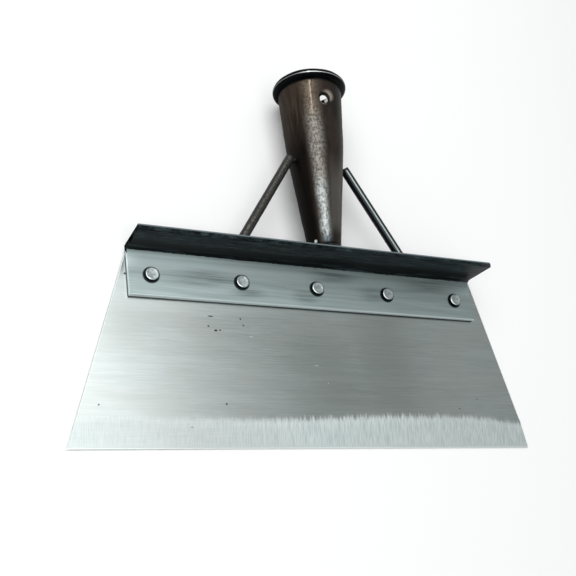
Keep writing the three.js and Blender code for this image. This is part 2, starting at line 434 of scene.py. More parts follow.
@dataclass(frozen=True)
class Finish:
    """A surface finish: builds one material from the patterns that the finishes share."""

    name: str
    slot: str

    def material(self) -> bpy.types.Material:
        """Gives the finish's material, made on first use.

        Returns:
            The material, under the finish's name.
        """
        made = bpy.data.materials.get(self.name)
        if made:
            return made
        made = bpy.data.materials.new(self.name)
        made.use_nodes = True
        made.node_tree.nodes.clear()
        add(made.node_tree, SURFACE, self.surface(made.node_tree))
        return made

    def surface(self, tree: Tree) -> Output:
        """Builds the shader in the material's node tree; each finish has its own."""
        raise NotImplementedError

    def place(self, tree: Tree) -> tuple[Output, ...]:
        """Gives the place on the piece in millimetres, Y counted from the leg's lower edge.

        Args:
            tree: the node tree.

        Returns:
            The place as a vector, and its X, Y and Z alone.
        """
        spot = add(tree, SCALED, add(tree, PLACE), (1 / MM,) * 3, (0, -LEG_LINE / MM, 0))
        parts = add(tree, AXES, spot).node.outputs
        return spot, parts["X"], parts["Y"], parts["Z"]

    def facing(self, tree: Tree, direction: Size) -> Output:
        """Measures how well the surface faces a direction of length one, from -1 to 1."""
        return add(tree, ALIGNED, add(tree, NORMAL), direction)

    def grain(self, tree: Tree, place: Output, size: Size, detail: float = 2, rough: float = 0.5) -> Output:
        """Makes a soft pattern whose marks have a real size along each axis.

        Args:
            tree: the node tree.
            place: the place in millimetres.
            size: the marks' size in millimetres along X, Y and Z.
            detail: how many finer layers are added.
            rough: how strong the finer layers are.

        Returns:
            A value between 0 and 1, mostly near 0.5.
        """
        scaled = add(tree, SCALED, place, tuple(1 / length for length in size))
        return add(tree, NOISE, scaled, 1.0, detail, rough)

    def meet(self, tree: Tree, *marks: object) -> Output:
        """Marks where several marks meet.

        Args:
            tree: the node tree.
            marks: other marks, strengths, or tuples of a measure and the numbers of its span.

        Returns:
            The product of all the marks.
        """
        whole = None
        for mark in marks:
            mark = add(tree, SOFT, *mark) if isinstance(mark, tuple) else mark
            whole = add(tree, TIMES, whole, mark) if whole else mark
        return whole

    def apart(self, tree: Tree, one: Output, other: object) -> Output:
        """Measures how far two values lie apart."""
        return add(tree, UNSIGNED, add(tree, MINUS, one, other))

    def patch(self, tree: Tree, place: Output, centre: Size, size: Size, soft: float) -> Output:
        """Marks a rounded patch.

        Args:
            tree: the node tree.
            place: the place in millimetres.
            centre: the patch's middle.
            size: its half widths along X, Y and Z.
            soft: the share of its width over which it fades out.

        Returns:
            1 inside the patch and 0 outside it.
        """
        shares = add(tree, SHARES, add(tree, MOVED, place, centre), size)
        return add(tree, SOFT, add(tree, LENGTH, shares), 1 - soft / 2, 1 + soft / 2, 1.0, 0.0)

    def patches(self, tree: Tree, place: Output, spots: Spots, soft: float) -> Output:
        """Marks several rounded patches on a face that looks up.

        Args:
            tree: the node tree.
            place: the place in millimetres.
            spots: the middle of each patch along X and Y, and its half widths.
            soft: the share of a patch's width over which it fades out.

        Returns:
            1 inside each patch and 0 outside them.
        """
        marks = None
        for x, y, wide, high in spots:
            mark = self.patch(tree, place, (x, y, 0), (wide, high, ANY_DEPTH), soft)
            marks = add(tree, GREATER, marks, mark) if marks else mark
        return marks

    def layered(self, tree: Tree, ground: Output | str, *layers: tuple) -> Output:
        """Lays colours over a ground one by one, each where its marks meet.

        Args:
            tree: the node tree.
            ground: the lowest colour, as a hex value or another node's output.
            layers: a colour and its marks for each.

        Returns:
            The colour of the whole.
        """
        for colour, *marks in layers:
            pair = (linear(tone) if isinstance(tone, str) else tone for tone in (ground, colour))
            ground = add(tree, COVER, self.meet(tree, *marks), *pair)
        return ground

    def matt(self, tree: Tree, shader: Output, mask: Output, colour: Output) -> Output:
        """Takes the gloss off a shader where a dry, matt surface shows.

        Args:
            tree: the node tree.
            shader: the glossy shader.
            mask: 1 where the surface is matt.
            colour: the matt surface's colour.

        Returns:
            The mixed shader.
        """
        return add(tree, MIXED, mask, shader, add(tree, MATT, colour))


@dataclass(frozen=True)
class BrushedSpringSteel(Finish):
    """Cold-rolled spring steel, belt-ground along its width and hand-ground at the edge.

    The belt leaves long fine scratches, so the sheet reads as a soft cool mirror with faint stripes. They are drawn
    0.28 mm wide, coarser than a real belt's, so that they show. The edge grind is cut the other way, starts at a
    ragged line and looks paler and matt. Broad patches of painted shade and painted light lie over the face, a
    painted highlight runs along the very edge, and the edge's face is painted in shade.
    """

    name: str = "brushed_spring_steel"
    slot: str = "blade_steel"
    face: str = "#C3CBCA"
    shade: str = "#ABB3B2"
    warm: str = "#B9B8B2"
    # The next two colours are painted shade and painted light for broad patches over the sheet's reflection.
    dull: str = "#989F9C"
    light: str = "#D8DFDF"
    grind: str = "#DDE5E5"
    grind_shade: str = "#C5CFCF"
    # Fresh grind, and also a painted highlight along the very edge.
    fresh_grind_and_highlight: str = "#F0F5F5"
    stain: str = "#30383A"
    # Painted shade on the face of the cutting edge.
    edge_face_shade: str = "#7C8483"
    light_mark: str = "#DCE3E2"
    belt_lines: Grain = ((13, 0.28, 0.28), 3, 0.65)
    stripes: Grain = ((60, 3.4, 3.4), 2)
    clouds: Grain = ((30, 20, 20), 1)
    grind_lines: Grain = ((0.42, 7, 7), 4, 0.6)
    teeth: Grain = ((0.8, 10, 10), 4, 0.75)
    belt_share: float = 1.1
    stripe_share: float = 0.5
    face_streaks: Span = (0.6, 1.0)
    calm_left: Span = (-110.0, -30.0, 0.45, 0.0)
    warm_clouds: Span = (0.42, 0.66, 0.0, 0.3)
    grind_line: float = -57.7
    grind_rise: float = 3.0
    rise_left: Span = (-40.0, 55.0)
    rise_right: Span = (124.0, 84.0)
    tooth_height: float = 5.2
    tooth_fade: float = 1.9
    grind_seen: Span = (-80.0, 0.0, 0.4, 1.0)
    grind_tones: Span = (0.36, 0.62)
    fringe_height: float = 5.0
    fringe_strength: float = 0.45
    # Where the edge's painted highlight lies, and how far a face must look along -Y to be painted in shade.
    edge_highlight_height: Span = (-70.3, -70.65)
    edge_turn: Span = (0.5, 0.9)
    # Patches of painted shade.
    shaded_patches: Spots = (
        (40.0, -26.0, 16.0, 30.0), (4.0, -44.0, 24.0, 14.0), (-2.0, -26.0, 18.0, 12.0), (-99.0, -9.0, 13.0, 16.0))
    shade_strength: float = 0.4
    # Patches of painted light.
    pale: Spots = (
        (-50.0, -44.0, 34.0, 16.0), (95.0, -30.0, 30.0, 40.0), (-45.0, -1.5, 44.0, 5.0), (-64.0, -54.0, 30.0, 6.0))
    painted_light_strength: float = 0.3
    cloudy_edge: float = 1.8
    stains: Spots = (
        (-57.5, -7.0, 1.4, 0.3), (-42.0, -7.4, 0.35, 0.5), (-40.6, -10.7, 0.35, 0.45), (-58.8, -12.1, 0.5, 0.4),
        (-55.1, -14.1, 0.8, 0.5), (-52.9, -13.8, 0.45, 0.4), (-51.6, -50.2, 0.5, 0.45), (-111.5, -51.6, 0.4, 0.35),
        (-68.9, -61.2, 0.45, 0.4), (94.3, -44.8, 0.35, 0.3), (81.8, -50.3, 0.35, 0.3), (-99.3, 11.6, 0.5, 0.5))
    light_marks: Spots = ((-36.7, -16.3, 1.0, 0.3), (-2.1, -29.7, 1.2, 0.25), (3.5, -38.5, 0.25, 0.5))
    spot_edge: float = 0.8
    polish: Span = (0.5, 1.1, 0.3, 0.28)
    grind_roughness: float = 0.36
    bump_strength: float = 0.08
    scratch_depth: float = 0.05

    def surface(self, tree: Tree) -> Output:
        """Builds the sheet's face with its painted shade and light, its ground edge with its painted highlight, and
        its small stains.

        Args:
            tree: the material's node tree.

        Returns:
            The shader's output.
        """
        place, across, height, _ = self.place(tree)
        fine = self.grain(tree, place, *self.belt_lines)
        broad = self.grain(tree, place, *self.stripes)
        cloud = self.grain(tree, place, *self.clouds)
        marks = self.grain(tree, place, *self.grind_lines)
        teeth = self.grain(tree, place, *self.teeth)
        streaks = add(tree, TIMES_PLUS, fine, self.belt_share, add(tree, TIMES, broad, self.stripe_share))
        rise = self.meet(tree, (across, *self.rise_left), (across, *self.rise_right))
        line = add(tree, TIMES_PLUS, rise, self.grind_rise, self.grind_line)
        ragged = add(tree, TIMES_PLUS, teeth, 2 * self.tooth_height, add(tree, MINUS, line, height))
        ground = self.meet(
            tree, (ragged, self.tooth_height - self.tooth_fade, self.tooth_height + self.tooth_fade),
            (across, *self.grind_seen))
        fringe = (ragged, self.tooth_height + self.fringe_height, self.tooth_height, 0.0, self.fringe_strength)
        grind = self.layered(
            tree, self.grind_shade, (self.grind, (marks, *self.grind_tones)), (self.fresh_grind_and_highlight, fringe, marks))
        calm = self.meet(tree, (across, *self.calm_left))
        tone = self.layered(
            tree, self.shade,
            (self.face, (streaks, *self.face_streaks, calm)),
            (self.warm, (cloud, *self.warm_clouds)),
            # Broad patches of painted shade, then of painted light.
            (self.dull, self.patches(tree, place, self.shaded_patches, self.cloudy_edge), self.shade_strength),
            (self.light, self.patches(tree, place, self.pale, self.cloudy_edge), self.painted_light_strength),
            (self.stain, self.patches(tree, place, self.stains, self.spot_edge)),
            (self.light_mark, self.patches(tree, place, self.light_marks, self.spot_edge)),
            (grind, ground),
            # A painted highlight along the very edge, then painted shade on the edge's face.
            (self.fresh_grind_and_highlight, (height, *self.edge_highlight_height)),
            (self.edge_face_shade, (self.facing(tree, EDGEWARD), *self.edge_turn)))
        rough = add(tree, TIMES_PLUS, ground, self.grind_roughness, add(tree, EVEN, streaks, *self.polish))
        scratch = add(tree, BLEND, ground, fine, marks)
        bump = add(tree, BUMP, self.bump_strength, self.scratch_depth * MM, scratch)
        return add(tree, GLOSSY, tone, 1.0, rough, bump)


@dataclass(frozen=True)
class PaintedAngle(Finish):
    """Rolled mild-steel angle under black gloss paint, ground bare on the riveted leg.

    The leg keeps the disc's lengthwise scratches, drawn 0.4 mm wide so that they show, and grey smears of grime
    round the rivets. The paint's edge in the corner is ragged where the disc could not reach. Light and shade are
    painted as well: light on the leg's lit part and its toe, shade under the flange, in the inner corner and round
    each rivet, a shade band and a sheen on the flange, and a highlight along its arris.
    """

    name: str = "painted_angle"
    slot: str = "beam_steel"
    paint: str = "#0C1012"
    # Deep paint for lines and scrapes, also used for a painted shade band near the corner.
    deep_paint_and_shade: str = "#040607"
    # Paint wear, also used as painted shade round the rivets and in the inner corner's rounding, and as a painted
    # sheen on the flange's outer part.
    worn_paint_shade_and_sheen: str = "#2B3538"
    paint_light: str = "#3C484C"
    # Chafed paint along the arris, with a painted highlight there.
    rubbed_highlight: str = "#7C888C"
    bare: str = "#B0BEBE"
    bare_shade: str = "#9EADAC"
    # Painted light on the lit part of the leg.
    bare_painted_light: str = "#E0EEEF"
    # Painted highlight along the toe and on the left end.
    toe_highlight: str = "#E0EBEB"
    # Dirt in the smears, and also painted shade under the flange.
    grime_and_shade: str = "#475755"
    scuffed: str = "#3A3840"
    scratches: Grain = ((30, 0.4, 0.4), 4, 0.6)
    stripes: Grain = ((38, 2.4, 2.4), 3)
    nicks: Grain = ((2.6, 0.9, 0.9), 4, 0.65)
    scrapes: Grain = ((4.5, 4.5, 0.9), 4, 0.7)
    paint_lines: Grain = ((14, 14, 1.0), 5, 0.75)
    paint_from: Span = (28.8, 29.05)
    nick_depth: float = 1.6
    paint_lift: Span = (-30.0, -95.0, 0.0, 0.5)
    end_face: Span = (0.3, 0.6)
    end_drop: float = 3.0
    bare_streaks: Span = (0.75, 1.2)
    smears: Spots = (
        (-60.0, 11.5, 15.0, 3.4), (-38.5, 5.8, 7.5, 2.4), (10.0, 18.5, 12.0, 2.8), (35.0, 10.0, 7.5, 3.0),
        (-6.0, 6.0, 6.0, 3.0), (72.0, 18.0, 17.0, 3.6))
    smear_edge: float = 1.6
    smear_streaks: Span = (1.25, 0.75, 0.1, 0.6)
    # Painted contact shade round each rivet: its shift and radius.
    rivet_contact_shade: Size = (-0.25, -0.3, 4.2)
    rivet_shade_edge: float = 0.16
    # Painted shade on the leg just under the flange.
    root_shade_height: Span = (14.0, 22.0, 0.0, 0.38)
    root_shade_across: Span = (-95.0, -10.0, 0.1, 1.0)
    # Painted shade in the inner corner's rounding.
    fillet_shade: Span = (23.6, 25.2)
    fillet_shade_across: Span = (-95.0, 10.0, 0.16, 0.25)
    # Where the leg's painted light lies.
    lit_from: Span = (11.0, 18.0)
    lit_to: Span = (30.0, 24.0)
    lit_left: Span = (60.0, -80.0, 0.3, 0.85)
    # Where the toe's painted highlight lies, then the painted shadow line at its foot.
    toe_height: Span = (1.0, 0.4)
    toe_shadow_line: Span = (3.2, 2.8)
    scraped: Span = (0.5, 0.57)
    scraped_left: Span = (20.0, -30.0, 0.2, 1.0)
    scraped_high: Span = (14.0, 17.0)
    scraped_strength: float = 0.8
    # A painted shade band on the flange near the corner.
    shade_band_top: Span = (17.2, 14.8)
    band_foot: Span = (9.0, 11.5)
    shade_band_strength: float = 0.9
    # A painted sheen on the flange's outer part.
    high_wear_and_sheen: Span = (15.0, 19.0, 0.0, 0.5)
    light_lines: Span = (0.5, 0.62, 0.0, 0.55)
    deep_lines: Span = (0.48, 0.38, 0.0, 0.8)
    scuff_right: Span = (91.0, 97.0)
    # Where the arris's chafed paint and painted highlight lie.
    arris_up: Span = (27.2, 27.7)
    arris_back: Span = (24.8, 25.3, 0.0, 0.75)
    bare_roughness: Span = (20.0, 24.0, 0.48, 0.68)
    paint_roughness: float = 0.32
    paint_specular: float = 0.1
    dry_paint: Span = (0.0, 1.0, 0.4, 1.0)
    bump_strength: float = 0.08
    scratch_depth: float = 0.05

    def metal(self, tree: Tree, end: Output, streaks: Output) -> Output:
        """Lays the ground steel's tones: painted light on its lit zone, dirt smears, painted shade under the flange,
        in the inner corner's rounding and round each rivet, and a painted highlight on the toe with a painted shadow
        line at its foot.

        Args:
            tree: the material's node tree.
            end: 1 on the left end's face.
            streaks: the disc's scratches.

        Returns:
            The bare metal's colour.
        """
        place, across, height, up = self.place(tree)
        corner = add(tree, PLUS, height, up)
        shift_x, shift_y, radius = self.rivet_contact_shade
        row = RivetRow()
        rings = tuple((x + shift_x, row.line_height + shift_y, radius, radius) for x in row.places())
        toe = add(tree, GREATER, self.meet(tree, (height, *self.toe_height)), end)
        return self.layered(
            tree, self.bare_shade,
            (self.bare, (streaks, *self.bare_streaks)),
            # Painted light on the leg's lit zone.
            (self.bare_painted_light, (height, *self.lit_from), (corner, *self.lit_to), (across, *self.lit_left)),
            # Painted shade just under the flange, then dirt smears.
            (self.grime_and_shade, (height, *self.root_shade_height), (across, *self.root_shade_across)),
            (self.grime_and_shade, self.patches(tree, place, self.smears, self.smear_edge), (streaks, *self.smear_streaks)),
            # Painted shade in the inner corner's rounding.
            (self.worn_paint_shade_and_sheen, (corner, *self.fillet_shade), (across, *self.fillet_shade_across)),
            # A painted highlight on the toe and the left end, then a painted shadow line along the toe's foot.
            (self.toe_highlight, toe),
            (self.paint, toe, (up, *self.toe_shadow_line)),
            # Painted contact shade round each rivet.
            (self.worn_paint_shade_and_sheen, self.patches(tree, place, rings, self.rivet_shade_edge)))

    def black(self, tree: Tree) -> Output:
        """Lays the paint's tones: lengthwise lines, scrapes, a painted sheen on the outer part, a painted shade band
        near the corner, a scuffed tip and the arris, chafed and painted with a highlight.

        Args:
            tree: the material's node tree.

        Returns:
            The paint's colour.
        """
        place, across, height, up = self.place(tree)
        scrapes = self.grain(tree, place, *self.scrapes)
        lines = self.grain(tree, place, *self.paint_lines)
        return self.layered(
            tree, self.paint,
            # A painted sheen on the flange's outer part.
            (self.worn_paint_shade_and_sheen, (up, *self.high_wear_and_sheen)),
            (self.paint_light, (lines, *self.light_lines)),
            (self.deep_paint_and_shade, (lines, *self.deep_lines)),
            (self.deep_paint_and_shade, (scrapes, *self.scraped), (across, *self.scraped_left), (up, *self.scraped_high),
             self.scraped_strength),
            # A painted shade band near the corner.
            (self.deep_paint_and_shade, (up, *self.shade_band_top), (up, *self.band_foot), self.shade_band_strength),
            (self.scuffed, (across, *self.scuff_right)),
            # Chafed paint with a painted highlight along the arris.
            (self.rubbed_highlight, (up, *self.arris_up), (height, *self.arris_back)))

    def surface(self, tree: Tree) -> Output:
        """Builds the ground leg and the painted rest.

        Args:
            tree: the material's node tree.

        Returns:
            The shader's output.
        """
        place, across, height, up = self.place(tree)
        corner = add(tree, PLUS, height, up)
        streaks = add(
            tree, PLUS, self.grain(tree, place, *self.scratches), self.grain(tree, place, *self.stripes))
        end = self.meet(tree, (self.facing(tree, LEFTWARD), *self.end_face))
        ragged = add(tree, TIMES_PLUS, self.grain(tree, place, *self.nicks), self.nick_depth, corner)
        ragged = add(tree, MINUS, ragged, self.meet(tree, (across, *self.paint_lift)))
        ragged = add(tree, TIMES_PLUS, end, self.end_drop, ragged)
        painted = self.meet(tree, (ragged, *self.paint_from))
        tone = self.layered(tree, self.metal(tree, end, streaks), (self.black(tree), painted))
        blurred = self.meet(tree, (corner, *self.bare_roughness))
        rough = add(tree, BLEND, painted, blurred, self.paint_roughness)
        bump = add(tree, BUMP, self.bump_strength, self.scratch_depth * MM, streaks)
        bare = add(tree, MINUS, 1.0, painted)
        shader = add(tree, GLOSSY, tone, bare, rough, bump, self.paint_specular)
        dry = self.meet(tree, painted, add(tree, EVEN, end, *self.dry_paint))
        return self.matt(tree, shader, dry, tone)


@dataclass(frozen=True)
class HammeredRivetSteel(Finish):
    """Soft rivet steel, set with a hammer and lightly ground.

    The face is flat and mottled with a painted highlight along its rim, and the side wall under it is painted dark,
    as dirt and shade.
    """

    name: str = "hammered_rivet_steel"
    slot: str = "rivet_steel"
    bright: str = "#CBD5D5"
    dull: str = "#A3AEAE"
    # Painted highlight along the rim.
    rim: str = "#F0F4F3"
    # Dirt and painted shade on the side wall under the head.
    grime_and_shade: str = "#101315"
    hammer_marks: Grain = ((1.5, 1.5, 1.5), 4, 0.6)
    bright_marks: Span = (0.38, 0.62)
    rim_highlight_side: Size = (-0.33, -0.28, 0.9)
    rim_highlight_turn: Span = (0.93, 0.985)
    side_shade_turn: Span = (0.84, 0.7)
    roughness: Span = (0.3, 0.7, 0.55, 0.42)
    bump_strength: float = 0.2
    mark_depth: float = 0.12

    def surface(self, tree: Tree) -> Output:
        """Builds the rivet's mottled face, its rim's painted highlight and its side's dirt and painted shade.

        Args:
            tree: the material's node tree.

        Returns:
            The shader's output.
        """
        place, _, _, _ = self.place(tree)
        mottle = self.grain(tree, place, *self.hammer_marks)
        tone = self.layered(
            tree, self.dull,
            (self.bright, (mottle, *self.bright_marks)),
            # A painted highlight along the rim, then dirt and painted shade on the side wall.
            (self.rim, (self.facing(tree, self.rim_highlight_side), *self.rim_highlight_turn)),
            (self.grime_and_shade, (self.facing(tree, UPWARD), *self.side_shade_turn)))
        rough = add(tree, EVEN, mottle, *self.roughness)
        bump = add(tree, BUMP, self.bump_strength, self.mark_depth * MM, mottle)
        return add(tree, GLOSSY, tone, 1.0, rough, bump)


@dataclass(frozen=True)
class ScaledTubeSteel(Finish):
    """Hot-formed tube with dark brown mill scale under clear varnish.

    Handling has scoured a pitted band down its front left, which also carries a painted highlight where the lamp's
    reflection falls: brown near the mouth, grey in the middle and bright silver low down, with a blue heat tint at
    the foot. The rolled bead keeps the blackest scale, with a painted highlight along its ridge. Painted shadows
    darken the flanks, the foot, the bead's underside and the screw hole's rim; painted highlights mark the seam and
    a weld glint, and painted light lies on the bore's far wall.
    """

    name: str = "scaled_tube_steel"
    slot: str = "socket_steel"
    scale: str = "#241E1A"
    scale_brown: str = "#332A24"
    scale_streak: str = "#463C32"
    bead: str = "#0E1011"
    # Colours of the band of wear, which also paint the highlight where the lamp's reflection falls.
    high_wear_and_sheen: str = "#5E5449"
    middle_wear_and_sheen: str = "#787570"
    low_wear_and_sheen: str = "#A0A6A5"
    shadow: str = "#0C0A09"
    grey: str = "#5C5A56"
    # Painted light on the bore's far wall, seen through the screw hole.
    bore: str = "#D9D7D2"
    # Painted highlight along the bead's ridge, also used for a weld glint.
    crest_shine: str = "#D4D8D9"
    blued: str = "#5B6A70"
    # Painted highlight along the seam.
    seam_highlight: str = "#877D70"
    countersunk: str = "#8C8479"
    pits: Grain = ((1.1, 1.6, 1.1), 4, 0.65)
    clouds: Grain = ((5, 14, 5), 3)
    draw_marks: Grain = ((1.5, 45, 1.5), 3, 0.6)
    foot_line: float = 26.0
    foot_shift: float = 0.7
    drift: float = -0.01104
    axis_height: float = 17.4
    rise: float = 0.02987
    axis: Size = (-0.011, 0.9995, 0.0298)
    brown_clouds: Span = (0.4, 0.65)
    band_foot: float = -15.0
    band_turn: float = -0.17
    band_waver: float = 16.0
    band_edge: Span = (33.0, 7.0)
    band_pits: Span = (0.36, 0.58, 0.3, 1.0)
    middle_height: Span = (82.0, 62.0)
    low_height: Span = (42.0, 24.0)
    blued_height: Span = (9.0, 3.0)
    foot_shadow: Span = (3.4, 1.8)
    seam_turn: float = -26.6
    seam_width: Span = (2.2, 0.6)
    seam_height: Span = (68.0, 74.0)
    low_right: Span = (-5.0, 8.0, 0.0, 0.7)
    low_right_top: Span = (55.0, 30.0)
    low_right_foot: Span = (5.0, 14.0)
    high: Span = (50.0, 78.0)
    high_right: Span = (4.0, 28.0, 0.0, 0.65)
    drawn: Span = (0.42, 0.6, 0.15, 0.6)
    drawn_turn: Span = (-26.0, -42.0)
    flank: Span = (-36.0, -54.0, 0.0, 0.9)
    flank_high: Span = (0.0, 1.0, 1.0, 0.45)
    bead_shadow: Span = (90.4, 91.6)
    bead_from: Span = (91.6, 92.4)
    crest_tilt: float = 0.16
    crest_width: Span = (0.13, 0.04)
    crest_turn: float = -8.0
    crest_front: Span = (50.0, 12.0, 0.25, 1.0)
    crest_height: Span = (93.6, 94.2)
    sink_patch: tuple[Size, Size, float] = ((1.7, 108.7, 36.5), (3.2, 3.0, 4.5), 0.7)
    sink_shadow: tuple[Size, Size, float] = ((-0.15, 107.2, 36.0), (3.3, 3.3, 6), 0.2)
    # A painted glint at the weld.
    spatter_glint: tuple[Size, Size, float] = ((-6.7, 29.4, 22.3), (0.8, 0.8, 0.8), 0.8)
    # Where the bore's painted light lies.
    lit_spot: tuple[Size, Size, float] = ((13.9, 122.4, 13.6), (1.2, 1.3, 1.2), 0.8)
    bore_taper: float = 0.0587
    bore_reach: Span = (10.5, 9.9)
    metal_band: Span = (0.0, 0.5, 0.35, 0.95)
    roughness: Span = (0.35, 0.65, 0.42, 0.3)
    specular: float = 0.2
    bump_strength: float = 0.3
    pit_depth: float = 0.12
    dry_left: Span = (-34.0, -50.0, 0.0, 0.75)
    dry_right: Span = (14.0, 40.0, 0.0, 0.5)

    def about(self, tree: Tree) -> tuple[Output, ...]:
        """Gives the place in the leaning tube's own terms.

        Args:
            tree: the material's node tree.

        Returns:
            The height above the flange, the turn from the front in degrees, and the distance from the axis.
        """
        _, across, along, up = self.place(tree)
        height = add(tree, MINUS, along, self.foot_line)
        beside = add(tree, MINUS, across, add(tree, TIMES_PLUS, height, self.drift, self.foot_shift))
        above = add(tree, MINUS, up, add(tree, TIMES_PLUS, height, self.rise, self.axis_height))
        turn = add(tree, DEGREES, add(tree, BEARING, beside, above))
        square = add(tree, PLUS, add(tree, TIMES, beside, beside), add(tree, TIMES, above, above))
        return height, turn, add(tree, POWER, square, 0.5)

    def worn_lit_band(self, tree: Tree, height: Output, turn: Output, clouds: Output, pitted: Output) -> Output:
        """Marks the pitted band of wear that winds down the tube's front, placed where the painted highlight falls.

        Args:
            tree: the material's node tree.
            height: the height above the flange.
            turn: the turn from the front.
            clouds: the pattern that makes the band's edge waver.
            pitted: the pits in the scale.

        Returns:
            The band's mark.
        """
        middle = add(tree, TIMES_PLUS, height, self.band_turn, self.band_foot)
        uneven = add(tree, TIMES_PLUS, clouds, self.band_waver, self.apart(tree, turn, middle))
        return self.meet(tree, (uneven, *self.band_edge), pitted)

    def bead_tone(self, tree: Tree, height: Output, turn: Output) -> Output:
        """Lays the black bead with a painted highlight along its ridge.

        Args:
            tree: the material's node tree.
            height: the height above the flange.
            turn: the turn from the front.

        Returns:
            The bead's colour.
        """
        tilt = add(tree, UNSIGNED, add(tree, PLUS, self.facing(tree, self.axis), self.crest_tilt))
        front = self.apart(tree, turn, self.crest_turn)
        # A painted highlight along the bead's ridge, brightest at its front.
        return self.layered(tree, self.bead, (
            self.crest_shine, (tilt, *self.crest_width), (front, *self.crest_front), (height, *self.crest_height)))

    def surface(self, tree: Tree) -> Output:
        """Builds the scale, the band of wear with its painted highlight, the seam's painted highlight, the painted
        shadows, the bead, the heat tint and the painted light in the bore.

        Args:
            tree: the material's node tree.

        Returns:
            The shader's output.
        """
        place, _, _, _ = self.place(tree)
        height, turn, reach = self.about(tree)
        pits = self.grain(tree, place, *self.pits)
        clouds = self.grain(tree, place, *self.clouds)
        marks = self.grain(tree, place, *self.draw_marks)
        pitted = self.meet(tree, (pits, *self.band_pits))
        band = self.worn_lit_band(tree, height, turn, clouds, pitted)
        worn_and_lit = self.layered(
            tree, self.high_wear_and_sheen,
            (self.middle_wear_and_sheen, (height, *self.middle_height)),
            (self.low_wear_and_sheen, (height, *self.low_height)),
            (self.blued, (height, *self.blued_height)))
        seam = self.apart(tree, turn, self.seam_turn)
        high = self.meet(tree, (height, *self.high))
        inside = add(tree, TIMES_PLUS, height, -self.bore_taper, reach)
        tone = self.layered(
            tree, self.scale,
            (self.scale_brown, (clouds, *self.brown_clouds)),
            (self.shadow, (turn, *self.flank), add(tree, EVEN, high, *self.flank_high)),
            (self.scale_streak, (marks, *self.drawn), high, (turn, *self.drawn_turn)),
            (self.grey, (height, *self.low_right_top), (turn, *self.low_right), (height, *self.low_right_foot)),
            (self.shadow, high, (turn, *self.high_right)),
            # The band of wear, which also paints the highlight.
            (worn_and_lit, band),
            # A painted highlight along the seam.
            (self.seam_highlight, (seam, *self.seam_width), (height, *self.seam_height), pitted),
            (self.shadow, (height, *self.bead_shadow)),
            (self.shadow, (height, *self.foot_shadow)),
            (self.countersunk, self.patch(tree, place, *self.sink_patch)),
            (self.shadow, self.patch(tree, place, *self.sink_shadow)),
            # A painted glint at the weld.
            (self.crest_shine, self.patch(tree, place, *self.spatter_glint)),
            (self.bead_tone(tree, height, turn), (height, *self.bead_from)),
            # Painted light on the bore's far wall, seen through the screw hole.
            (self.bore, (inside, *self.bore_reach), self.patch(tree, place, *self.lit_spot)))
        metallic = add(
            tree, GREATER, add(tree, EVEN, band, *self.metal_band), add(tree, EVEN, height, *self.bead_from))
        rough = add(tree, EVEN, pits, *self.roughness)
        bump = add(tree, BUMP, self.bump_strength, self.pit_depth * MM, pits)
        shader = add(tree, GLOSSY, tone, metallic, rough, bump, self.specular)
        dry = add(
            tree, GREATER, self.meet(tree, (turn, *self.dry_left)), self.meet(tree, (turn, *self.dry_right)))
        return self.matt(tree, shader, dry, tone)


@dataclass(frozen=True)
class BlackBar(Finish):
    """Hot-rolled round bar under black paint, with a painted highlight of bare steel's colour along the side that
    looks up.
    """

    name: str = "black_painted_bar"
    slot: str = "brace_steel"
    paint: str = "#0D1012"
    # Painted highlight along the side that looks up.
    rubbed_highlight: str = "#A9B6B8"
    mottle: Grain = ((1.0, 1.0, 1.0), 5, 0.65)
    strip: Size = (-0.1, -0.3, 0.95)
    strip_turn: Span = (0.95, 0.998)
    broken: Span = (0.4, 0.62, 1.0, 1.0)
    roughness: float = 0.25
    specular: float = 0.3
    bump_strength: float = 0.1
    bump_depth: float = 0.1

    def surface(self, tree: Tree) -> Output:
        """Builds the bar's paint with its painted highlight strip.

        Args:
            tree: the material's node tree.

        Returns:
            The shader's output.
        """
        place, _, _, _ = self.place(tree)
        mottle = self.grain(tree, place, *self.mottle)
        strip = self.meet(tree, (self.facing(tree, self.strip), *self.strip_turn), (mottle, *self.broken))
        tone = self.layered(tree, self.paint, (self.rubbed_highlight, strip))
        bump = add(tree, BUMP, self.bump_strength, self.bump_depth * MM, mottle)
        return add(tree, GLOSSY, tone, strip, self.roughness, bump, self.specular)


@dataclass(frozen=True)
class PaintedWeld(Finish):
    """Arc-weld bead under thin black paint, which leaves the ripples' crests shiny."""

    name: str = "painted_weld_bead"
    slot: str = "weld_steel"
    paint: str = "#0F1214"
    crest_shine: str = "#2C3235"
    mottle: Grain = ((0.8, 0.8, 0.8), 3)
    shiny: Span = (0.4, 0.65)
    metallic: float = 0.5
    roughness: float = 0.28
    specular: float = 0.4
    bump_strength: float = 0.3
    bump_depth: float = 0.08

    def surface(self, tree: Tree) -> Output:
        """Builds the bead's thin paint.

        Args:
            tree: the material's node tree.

        Returns:
            The shader's output.
        """
        place, _, _, _ = self.place(tree)
        mottle = self.grain(tree, place, *self.mottle)
        tone = self.layered(tree, self.paint, (self.crest_shine, (mottle, *self.shiny)))
        bump = add(tree, BUMP, self.bump_strength, self.bump_depth * MM, mottle)
        return add(tree, GLOSSY, tone, self.metallic, self.roughness, bump, self.specular)


